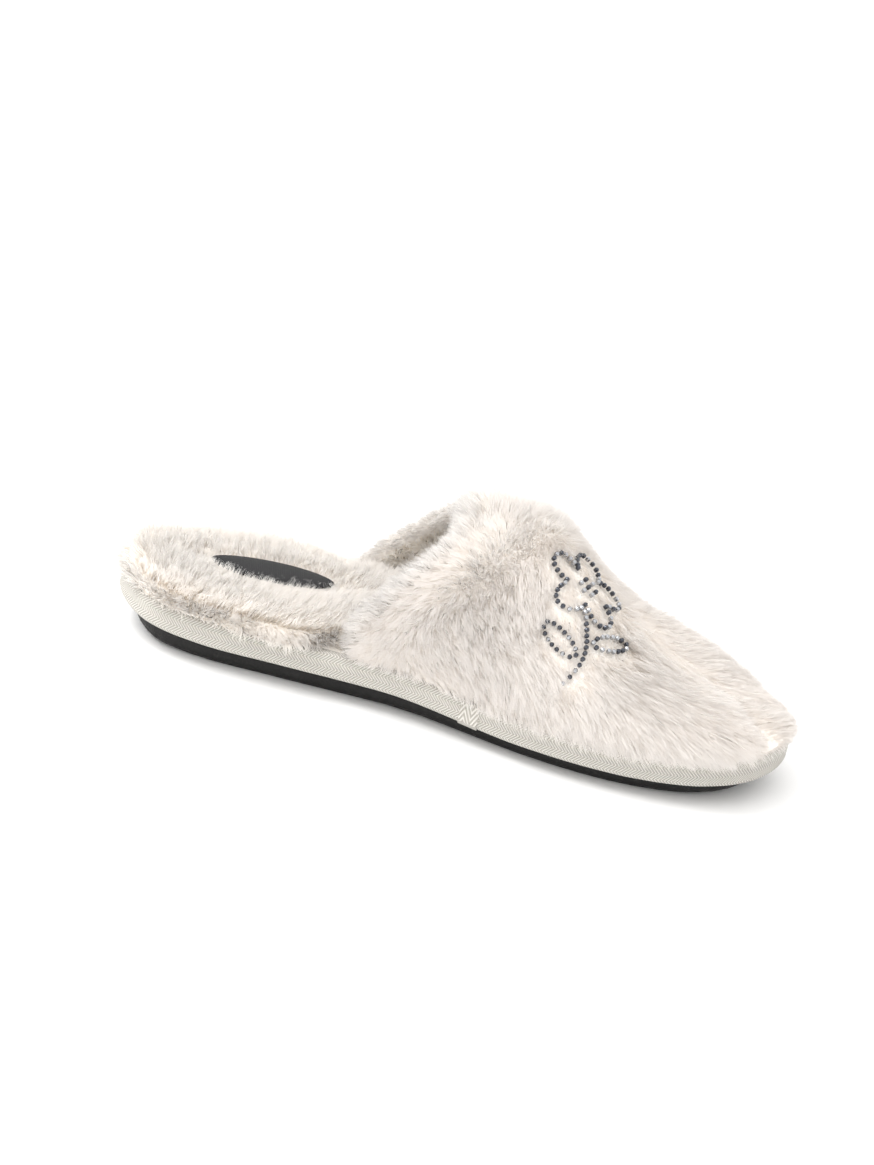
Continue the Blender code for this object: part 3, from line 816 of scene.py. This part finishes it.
# The vamp's fur
for side, word in ((1, "lateral"), (-1, "medial")):
    thick = 1 + 0.6 * smooth_all(np.arange(TURNS) / TURNS, 0.7, 0.95)[:, None] * np.ones((1, CLIMBS))
    roots, normals, naps, share = outer[side].sample(VAMP_DENSITY, thick)
    collar = 1 - smooth_all(share[:, 0], 0.14, 0.24)
    lengths = VAMP_PILE * (1 - 0.42 * smooth_all(share[:, 0], 0.45, 0.85))  # shorter at the toe
    lengths = lengths * (1 - collar) + COLLAR_PILE * collar
    short = (0.45 if side > 0 else 0.8) + 0.3 * smooth_all(share[:, 1], 0.8, 1.0)  # flatter far off
    lengths *= short + (1 - short) * smooth_all(share[:, 0], 0.02, 0.2)
    lengths *= clear_of_stones(roots) * (0.62 + 0.38 * smooth_all(share[:, 1], 0.0, 0.16))
    swirl = np.array([noise.noise_vector(Vector(root) * 30) for root in roots]) * 0.55
    leans = naps + swirl + collar[:, None] * swirl * 0.8
    strands(
        f"fur_{word}", roots, normals, leans, lengths, VAMP_STRAND, WHITE_FUR,
        rise=0.32 + 0.14 * collar, droop=0.35, locks=48, pull=0.46,
    )
roots, normals, naps, share = lip.sample(COLLAR_DENSITY)
inside = smooth_all(share[:, 1], 0.55, 0.95)
low = smooth_all(np.minimum(share[:, 0], 1 - share[:, 0]), 0.0, 0.08)
far = 1 - smooth_all(share[:, 0], 0.34, 0.47)
lengths = COLLAR_PILE * (0.85 - 0.3 * inside) * (0.5 + 0.5 * low) * (1 - 0.5 * far)
strands(
    "fur_collar", roots, normals, naps, lengths, COLLAR_STRAND, WHITE_FUR,
    rise=0.34, droop=0.45, locks=52, pull=0.5,
)
for side, word in ((1, "lateral"), (-1, "medial")):
    shown = np.ones((TURNS, CLIMBS))
    shown[TURNS // 2 :] = 0.0
    roots, normals, naps, share = inner[side].sample(LINING_DENSITY, shown)
    swirl = np.array([noise.noise_vector(Vector(root) * 40) for root in roots]) * 0.6
    lengths = LINING_PILE * (1 - 0.65 * smooth_all(share[:, 0], 0.3, 0.6)) * np.ones(len(roots))
    strands(
        f"lining_{word}", roots, normals, naps * 0.4 + swirl, lengths, LINING_STRAND, LINING_FUR,
        rise=0.5, droop=0.2, locks=26, pull=0.6,
    )

# The plush pad
POINTS, CELLS = 96, 22
PAD_OVERHANG = 0.8 * MM
BROW_INSET = 1.5 * MM


def pad_rows():
    def at(angle, inset, height):
        place = rim(angle, inset)
        return Vector((place.x, place.y, height(place.x)))

    angles = [2 * math.pi * i / POINTS for i in range(POINTS)]
    inner_edge, tongue = TAPE_UNDER + CLEARANCE, TAPE_OVER + CLEARANCE
    yield [at(a, inner_edge, lambda x: deck(x) + CLEARANCE) for a in angles]
    yield [at(a, inner_edge, lambda x: deck(x) + TAPE + 2 * CLEARANCE) for a in angles]
    yield [at(a, TAPE + CLEARANCE, lambda x: deck(x) + TAPE + 2 * CLEARANCE) for a in angles]
    yield [at(a, TAPE + CLEARANCE, lambda x: deck(x) + TAPE_HEIGHT - TAPE) for a in angles]
    yield [at(a, tongue, lambda x: deck(x) + TAPE_HEIGHT - TAPE) for a in angles]
    yield [at(a, tongue, lambda x: tape_top(x)) for a in angles]
    yield [at(a, bed_edge(a), lambda x: tape_top(x) + 0.3 * CLEARANCE) for a in angles]
    yield [
        at(
            a,
            bed_edge(a) - PAD_OVERHANG * (1 - under_vamp(a)),
            lambda x: tape_top(x) + CLEARANCE + 0.3 * PLUSH,
        )
        for a in angles
    ]
    brow = []
    for a in angles:
        top = rim(a, bed_edge(a) + BROW_INSET)
        height = tape_top(top.x) + CLEARANCE
        height += (bed_height(top.x, top.y) - height) * 0.82
        brow.append(Vector((top.x, top.y, height)))
    yield brow


rows = list(pad_rows())
pad_places = [list(p + SHIFT) for row in rows for p in row]
pad_faces = []
for r in range(len(rows) - 1):
    for i in range(POINTS):
        j = (i + 1) % POINTS
        pad_faces.append([r * POINTS + i, r * POINTS + j, (r + 1) * POINTS + j, (r + 1) * POINTS + i])
for i in range(1, POINTS // 2 - 1):
    pad_faces.append([i, i + 1, POINTS - i - 1, POINTS - i])
pad_faces += [[0, 1, POINTS - 1], [POINTS // 2 - 1, POINTS // 2, POINTS // 2 + 1]]
top_places, brow = [], rows[-1]
for i in range(POINTS // 2 + 1):
    one, other = brow[i], brow[(POINTS - i) % POINTS]
    row = []
    for k in range(CELLS + 1):
        place = one.lerp(other, k / CELLS)
        if 0 < k < CELLS and 0 < i < POINTS // 2:
            place.z = bed_height(place.x, place.y) + PAD_WAVE * waves(place, PAD_SCALE, PAD_SEED)
        row.append(place)
    top_places.append(row)
shape = (POINTS // 2 + 1, CELLS + 1, 3)
top = Patch(top_places, np.broadcast_to((0, 0, 1.0), shape), np.broadcast_to((0.3, 0, 0.0), shape))
base = len(pad_places)
pad_places += top.places.reshape(-1, 3).tolist()
for i in range(POINTS // 2):
    for k in range(CELLS):
        a = base + i * (CELLS + 1) + k
        pad_faces.append([a, a + 1, a + CELLS + 2, a + CELLS + 1])
pad = mesh_object("plush_pad", pad_places, pad_faces, GROUND)
face_outward(pad, WELD)
pad.data.shade_smooth()
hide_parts("footbed")
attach(pad, "root")

label_middle = Vector((LENGTH * (LABEL_PLACE[0] - 0.5), WIDTH * LABEL_PLACE[1], 0)) + SHIFT


def label_share(roots, grow_x, grow_y):
    """Below 1 inside an oval round the label."""
    dx = (roots[:, 0] - label_middle.x) / (LABEL_LENGTH / 2 + grow_x)
    dy = (roots[:, 1] - label_middle.y) / (LABEL_WIDTH / 2 + grow_y)
    return np.sqrt(dx * dx + dy * dy)


shown = np.ones((POINTS // 2, CELLS))
for i in range(POINTS // 2):
    along = (1 - math.cos(2 * math.pi * (i + 0.5) / POINTS)) / 2
    shown[i] = 1 if along < 0.55 else 0.08
roots, normals, naps, share = top.sample(BED_DENSITY, shown)
keep = label_share(roots, -3.5 * MM, -3.0 * MM) > 1
roots, normals, naps, share = roots[keep], normals[keep], naps[keep], share[keep]
swirl = np.array([noise.noise_vector(Vector(root) * 26) for root in roots])
lengths = BED_PILE * (1 - 0.55 * smooth_all(roots[:, 0], -10 * MM, 15 * MM))
near = label_share(roots, 0, 0)
front = 1 - smooth_all(roots[:, 1], label_middle.y - 5 * MM, label_middle.y + 1 * MM)
lengths = lengths * (0.42 + 0.35 * front + (0.58 - 0.35 * front) * smooth_all(near, 1.0, 2.0))
over = (front * (1 - smooth_all(near, 1.05, 1.5)))[:, None] * np.array((0.2, 0.9, 0.1))
rimward = 1 - smooth_all(np.minimum(share[:, 1], 1 - share[:, 1]), 0.0, 0.22)
over[:, 1] += np.where(share[:, 1] < 0.5, 0.9, -0.9) * rimward
over[:, 0] -= 0.9 * (1 - smooth_all(share[:, 0], 0.0, 0.16))
strands(
    "bed_fur", roots, normals, naps + swirl * 0.9 + over, lengths, BED_STRAND, BED_FUR,
    rise=0.55, droop=0.25, locks=40, pull=0.5,
)

# The pile that stands out over the tape at the heel
side_places, side_normals = [], []
span = [(-THROAT_ANGLE + 0.06) + (2 * THROAT_ANGLE - 0.12) * i / 60 for i in range(61)]
for angle in span:
    out = (rim(angle) - rim(angle, MM)).normalized()
    row = []
    for s in range(4):
        place = rim(angle, bed_edge(angle) + (-0.6 + 0.6 * s) * MM)
        row.append(Vector((place.x, place.y, tape_top(place.x) + CLEARANCE + (0.1 + 1.3 * s) * MM)))
    side_places.append(row)
    side_normals.append([(out.x, out.y, 0.3 + 0.25 * s) for s in range(4)])
fringe = Patch(side_places, side_normals, np.broadcast_to((0, 0, -0.1), (61, 4, 3)))
roots, normals, naps, share = fringe.sample(FRINGE_DENSITY)
swirl = np.array([noise.noise_vector(Vector(root) * 40) for root in roots])
lengths = np.full(len(roots), FRINGE_PILE)
strands(
    "bed_fringe", roots, normals, naps + swirl * 0.7, lengths, FRINGE_STRAND, BED_FUR,
    rise=0.5, droop=0.35, locks=26, pull=0.5,
)

# The label, a slightly domed woven oval
LABEL_POINTS = 48
LABEL_RINGS = ((1.0, 0.0), (1.0, 0.5), (0.96, 0.75), (0.6, 0.95), (0.25, 1.05))  # share, height in mm
label_points, label_faces = [], []
for size, up in LABEL_RINGS:
    for s in range(LABEL_POINTS):
        turn = 2 * math.pi * s / LABEL_POINTS
        x = label_middle.x + LABEL_LENGTH / 2 * size * math.cos(turn)
        y = label_middle.y + LABEL_WIDTH / 2 * size * math.sin(turn)
        z = bed_height(x - SHIFT.x, y - SHIFT.y) + 2 * CLEARANCE + LABEL_RISE + up * MM
        label_points.append((x, y, z))
last_ring = (len(LABEL_RINGS) - 1) * LABEL_POINTS
for ring in range(0, last_ring, LABEL_POINTS):
    for s in range(LABEL_POINTS):
        t = (s + 1) % LABEL_POINTS
        label_faces.append([ring + s, ring + t, ring + LABEL_POINTS + t, ring + LABEL_POINTS + s])
label_faces.append([last_ring + s for s in range(LABEL_POINTS)])
label_faces.append([LABEL_POINTS - 1 - s for s in range(LABEL_POINTS)])
patch_piece = mesh_object("label_patch", label_points, label_faces, SATIN)
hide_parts("insole_label")
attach(patch_piece, "root")
face_outward(patch_piece)

# The tape, with its run and height as a map for the weave
TAPE_POINTS = 256
corner = TAPE_ROUND * (1 - math.sqrt(0.5))
tape_face = (
    # inset and height, from the lower round to the upper one
    (TAPE_ROUND, 0),
    (corner, corner),
    (0, TAPE_ROUND),
    (0, TAPE_HEIGHT / 2),
    (0, TAPE_HEIGHT - TAPE_ROUND),
    (corner, TAPE_HEIGHT - corner),
    (TAPE_ROUND, TAPE_HEIGHT),
)
profile = (
    (TAPE_UNDER, 0),
    (5.0 * MM, 0),
    *tape_face,
    (TAPE_OVER, TAPE_HEIGHT),
    (TAPE_OVER, TAPE_HEIGHT - TAPE),
    (TAPE, TAPE_HEIGHT - TAPE),
    (TAPE, TAPE),
    (TAPE_UNDER, TAPE),
)
tape_points, tape_faces, tape_uv = [], [], []
runs = [0.0]
for i in range(TAPE_POINTS):
    one, other = edge(2 * math.pi * i / TAPE_POINTS), edge(2 * math.pi * (i + 1) / TAPE_POINTS)
    runs.append(runs[-1] + (other - one).length)
heights = [0.0]
for one, other in zip(profile, profile[1:] + profile[:1]):
    heights.append(heights[-1] + math.dist(one, other))
for inset, height in profile:
    for i in range(TAPE_POINTS):
        angle = 2 * math.pi * i / TAPE_POINTS
        place = rim(angle, inset)
        wobble = TAPE_WAVE * waves((place.x, place.y, height * 3), TAPE_SCALE, TAPE_SEED)
        place = rim(angle, inset + wobble)
        tape_points.append((place.x + SHIFT.x, place.y + SHIFT.y, deck(place.x) + CLEARANCE + height))
for r in range(len(profile)):
    q = (r + 1) % len(profile)
    for i in range(TAPE_POINTS):
        j = (i + 1) % TAPE_POINTS
        tape_faces.append(
            [r * TAPE_POINTS + i, r * TAPE_POINTS + j, q * TAPE_POINTS + j, q * TAPE_POINTS + i]
        )
        tape_uv += [
            (runs[i], heights[r]), (runs[i + 1], heights[r]),
            (runs[i + 1], heights[r + 1]), (runs[i], heights[r + 1]),
        ]
tape = bpy.data.objects.new("tape_band", bpy.data.meshes.new("tape_band"))
tape.data.from_pydata(tape_points, [], tape_faces)
layer = tape.data.uv_layers.new(name="run")
layer.data.foreach_set("uv", np.array(tape_uv, np.float32).ravel())
face_outward(tape)
tape.data.shade_smooth()
tape.data.set_sharp_from_angle(angle=math.radians(60))
tape.data.materials.append(TAPE_LOOK)
bpy.context.scene.collection.objects.link(tape)
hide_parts("binding")
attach(tape, "root")

# The lapped end of the tape, at the waist on the medial side
JOINT_X, JOINT_WIDTH = 6 * MM, 7 * MM
JOINT_RISE, JOINT_SINK = 0.45 * MM, 0.2 * MM  # over the tape, and into it
joint_middle = -math.acos(-2 * JOINT_X / LENGTH)
joint_turn = JOINT_WIDTH / LENGTH
JOINT_STEPS = 6
joint_points, joint_faces = [], []
for layer_rise in (JOINT_RISE, -JOINT_SINK):
    for i in range(JOINT_STEPS + 1):
        angle = joint_middle + joint_turn * (2 * i / JOINT_STEPS - 1)
        for inset, height in tape_face:
            place = rim(angle, inset - layer_rise)
            out = layer_rise if height in (0, TAPE_HEIGHT) else 0
            z = deck(place.x) + CLEARANCE + height + (out if height else -out)
            joint_points.append((place.x + SHIFT.x, place.y + SHIFT.y, z))
across_count, layer_count = len(tape_face), (JOINT_STEPS + 1) * len(tape_face)
for i in range(JOINT_STEPS):
    for k in range(across_count - 1):
        a = i * across_count + k
        quad = [a, a + 1, a + across_count + 1, a + across_count]
        joint_faces.append(quad)
        joint_faces.append([layer_count + q for q in quad[::-1]])
rim_line = [i * across_count for i in range(JOINT_STEPS + 1)]
rim_line += [JOINT_STEPS * across_count + k for k in range(1, across_count)]
rim_line += [(i + 1) * across_count - 1 for i in range(JOINT_STEPS - 1, -1, -1)]
rim_line += list(range(across_count - 2, 0, -1))
for one, other in zip(rim_line, rim_line[1:] + rim_line[:1]):
    joint_faces.append([one, other, layer_count + other, layer_count + one])
joint = bpy.data.objects.new("tape_joint", bpy.data.meshes.new("tape_joint"))
joint.data.from_pydata(joint_points, [], joint_faces)
layer = joint.data.uv_layers.new(name="run")
for loop in joint.data.loops:
    row, column = divmod(loop.vertex_index % layer_count, across_count)
    layer.data[loop.index].uv = (
        column / (across_count - 1) * TAPE_HEIGHT,
        row / JOINT_STEPS * JOINT_WIDTH,
    )
joint.data.materials.append(TAPE_LOOK)
bpy.context.scene.collection.objects.link(joint)
face_outward(joint)
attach(joint, "root")

# Stitches on the turned-in tape, outside the outsole
thread = new_material("dark_thread", (0.10, 0.095, 0.09), 0.8)[0]
stitch_points, stitch_faces = [], []
THREAD_HALF, THREAD_LOW, THREAD_HIGH = 0.22 * MM, 0.25 * MM, 0.1 * MM


def bar(points, faces, start, end, half_width, low, high):
    way = (end - start).normalized()
    aside = Vector((-way.y, way.x, 0)) * half_width
    base = len(points)
    for z in (low, high):
        for place in (start - aside, end - aside, end + aside, start + aside):
            points.append((place.x, place.y, place.z + z))
    for face in ((3, 2, 1, 0), (4, 5, 6, 7), (0, 1, 5, 4), (1, 2, 6, 5), (2, 3, 7, 6), (3, 0, 4, 7)):
        faces.append([base + f for f in face])


STITCHES = 170
STITCH_SHARE = 0.62  # how much of a pitch one stitch takes
SEAM_INSET = SOLE_INSET - 2.5 * MM
for i in range(STITCHES):
    ends = []
    for share in (0.0, STITCH_SHARE):
        place = rim(2 * math.pi * (i + share) / STITCHES, SEAM_INSET)
        ends.append(Vector((place.x, place.y, deck(place.x) + CLEARANCE)) + SHIFT)
    bar(stitch_points, stitch_faces, *ends, THREAD_HALF, -THREAD_LOW, THREAD_HIGH)
stitches = mesh_object("stitches", stitch_points, stitch_faces, thread, False)
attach(stitches, "root")
face_outward(stitches)

# Fine ridges in the gaps between the ribs
lines = {}
for side in (1, -1):
    edge_places = [rim(side * math.pi * i / 240, SOLE_INSET + RIM_WIDTH) for i in range(241)]
    edge_places.sort(key=lambda place: place.x)
    lines[side] = np.array([p.x for p in edge_places]), np.array([p.y for p in edge_places])
start, end = lines[1][0][0] + RIB_GAP, lines[1][0][-1] - RIB_GAP
count = int((end - start + RIB_GAP) / RIB_PITCH)
first = (start + end) / 2 - (count - 1) / 2 * RIB_PITCH
disc_x, disc_y = LENGTH * (DISC_PLACE[0] - 0.5), WIDTH * DISC_PLACE[1]
RIDGE_HALF, RIDGE_LOW, RIDGE_HIGH = 0.22 * MM, 0.45 * MM, FIELD_DEPTH + 0.1 * MM
RIDGE_END = 1.6 * MM  # left free between a ridge and the rim
SHORTEST_RIDGE = 3 * MM
ridge_points, ridge_faces = [], []
for i in range(count - 1):
    x = first + (i + 0.5) * RIB_PITCH
    high, low = np.interp(x, *lines[1]) - RIDGE_END, np.interp(x, *lines[-1]) + RIDGE_END
    gap = DISC_DIAMETER / 2 + RIB_GAP + 0.3 * MM
    parts = [(low, high)]
    if abs(x - disc_x) < gap:
        half = math.sqrt(gap**2 - (x - disc_x) ** 2)
        parts = [(low, disc_y - half), (disc_y + half, high)]
    for one, other in parts:
        if other - one > SHORTEST_RIDGE:
            ends = [Vector((x, y, lift(x))) + SHIFT for y in (one, other)]
            bar(ridge_points, ridge_faces, *ends, RIDGE_HALF, RIDGE_LOW, RIDGE_HIGH)
ridges = mesh_object("tread_ridges", ridge_points, ridge_faces, RUBBER, False)
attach(ridges, "root")
face_outward(ridges)
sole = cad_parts["outsole"]
sole.data.materials.clear()
sole.data.materials.append(RUBBER)

# Floor, light and camera
floor_look = new_material("floor", (0.93, 0.93, 0.93), 0.9)[0]
FLOOR = 6.0  # metres from the middle to each side
floor_places = [(x * FLOOR, y * FLOOR, 0) for x, y in ((-1, -1), (1, -1), (1, 1), (-1, 1))]
floor = mesh_object("floor", floor_places, [[0, 1, 2, 3]], floor_look, False)
floor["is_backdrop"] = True
world = bpy.data.worlds.new("studio")
world.use_nodes = True
world.node_tree.nodes["Background"].inputs[0].default_value = (1.0, 0.995, 0.985, 1)
sky_nodes, sky_links = world.node_tree.nodes, world.node_tree.links
direction = sky_nodes.new("ShaderNodeSeparateXYZ")
sky_links.new(sky_nodes.new("ShaderNodeTexCoord").outputs["Generated"], direction.inputs[0])
SKY, SKY_FALL = 1.44, 0.30  # the sky's strength, and how much it falls toward the toe
sky = maths(sky_nodes, sky_links, "MULTIPLY_ADD", direction.outputs[0], -SKY_FALL)
sky.node.inputs[2].default_value = SKY
sky_links.new(sky, sky_nodes["Background"].inputs[1])
bpy.context.scene.world = world


def softbox(name, place, target, size, power):
    light = bpy.data.lights.new(name, "AREA")
    light.size, light.energy = size, power
    thing = bpy.data.objects.new(name, light)
    thing.location = place
    thing.rotation_euler = (Vector(target) - Vector(place)).to_track_quat("-Z", "Y").to_euler()
    bpy.context.scene.collection.objects.link(thing)


AIM = (0, 0, 0.03)
KEY_PLACE, KEY_SIZE, KEY_POWER = (-0.9, -0.1, 1.1), 0.8, 12.5
FILL_PLACE, FILL_SIZE, FILL_POWER = (-1.2, -1.0, 0.6), 1.0, 1.8
softbox("key", KEY_PLACE, AIM, KEY_SIZE, KEY_POWER)
softbox("fill", FILL_PLACE, AIM, FILL_SIZE, FILL_POWER)

AZIMUTH, ELEVATION, ROLL = (math.radians(v) for v in (-6.0, 23.5, 14.05))
SCALE, DISTANCE = 2.675, 2200.0  # photo pixels per mm at the origin, and mm
ORIGIN_X, ORIGIN_Y = 444.9, 695.1  # where the origin falls in the photo
PHOTO_W, PHOTO_H = 874, 1165
back = Vector(
    (
        math.sin(AZIMUTH) * math.cos(ELEVATION),
        -math.cos(AZIMUTH) * math.cos(ELEVATION),
        math.sin(ELEVATION),
    )
)
right = Vector((math.cos(AZIMUTH), math.sin(AZIMUTH), 0))
up = back.cross(right)
rolled = right * math.cos(ROLL) + up * math.sin(ROLL)
above = up * math.cos(ROLL) - right * math.sin(ROLL)
camera = bpy.data.objects.new("camera", bpy.data.cameras.new("camera"))
bpy.context.scene.collection.objects.link(camera)
camera.matrix_world = Matrix.Translation(back * DISTANCE * MM) @ Matrix(
    ((rolled.x, above.x, back.x), (rolled.y, above.y, back.y), (rolled.z, above.z, back.z))
).to_4x4()
SENSOR = 36
camera.data.sensor_width = SENSOR
camera.data.lens = SENSOR * SCALE * DISTANCE / PHOTO_H
camera.data.shift_x = (PHOTO_W / 2 - ORIGIN_X) / PHOTO_H
camera.data.shift_y = (ORIGIN_Y - PHOTO_H / 2) / PHOTO_H
camera.data.clip_end = 50
bpy.context.scene.camera = camera
bpy.context.scene.view_settings.view_transform = "Standard"

low, high = CAD_BOX
now_low, now_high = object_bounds()
{"cad": [list(low), list(high)], "visual": [list(now_low), list(now_high)]}
